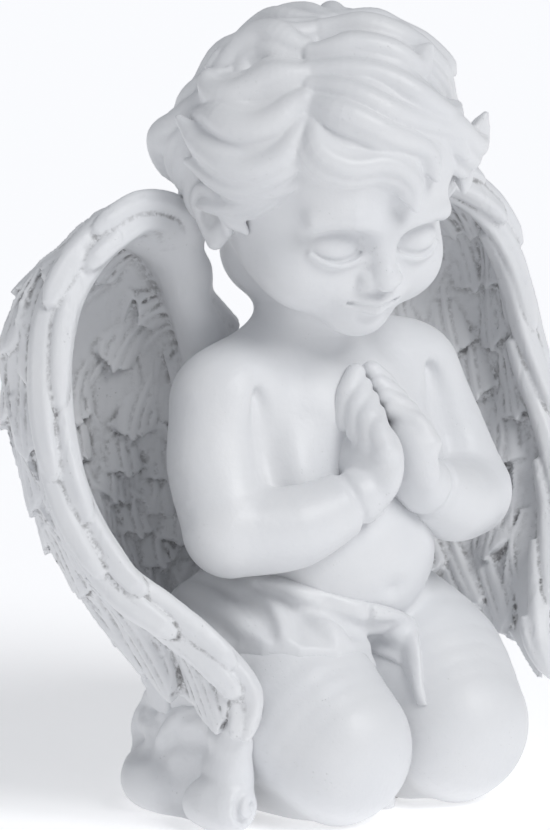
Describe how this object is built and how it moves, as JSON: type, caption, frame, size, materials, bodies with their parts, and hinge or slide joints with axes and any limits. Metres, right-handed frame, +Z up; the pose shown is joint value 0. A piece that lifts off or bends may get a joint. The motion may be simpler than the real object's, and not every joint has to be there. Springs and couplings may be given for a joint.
{
  "type": "angel figurine",
  "caption": "Kneeling, praying winged cherub in matt white cast resin, with wavy hair, a loincloth and cloth gathered at one knee; it rests on a recessed felt under its base.",
  "frame": {"origin": "on the floor, in the plane of the felt's lower face, on the figure's middle plane", "axes": "+Z up; the figure faces -Y; its own left side is +X"},
  "size_m": [0.2389, 0.1435, 0.2997],
  "materials": {
    "white_resin": "matt, with fine casting pits and grey grime in the feather grooves",
    "steel_pin": "plain drawn rod",
    "base_board": "matt grey pressed board",
    "plug_rubber": "matt",
    "felt": "dark green felt"
  },
  "bodies": {
    "root": {"body_casting": "white_resin", "head_casting": "white_resin", "right_arm_casting": "white_resin", "left_arm_casting": "white_resin", "right_wing_casting": "white_resin", "left_wing_casting": "white_resin", "ground_drape": "white_resin", "neck_dowel": "steel_pin", "right_arm_dowel": "steel_pin", "left_arm_dowel": "steel_pin", "right_wing_pins": "steel_pin", "left_wing_pins": "steel_pin", "base_plate": "base_board", "vent_plug": "plug_rubber", "felt_pad": "felt"}
  },
  "joints": []
}
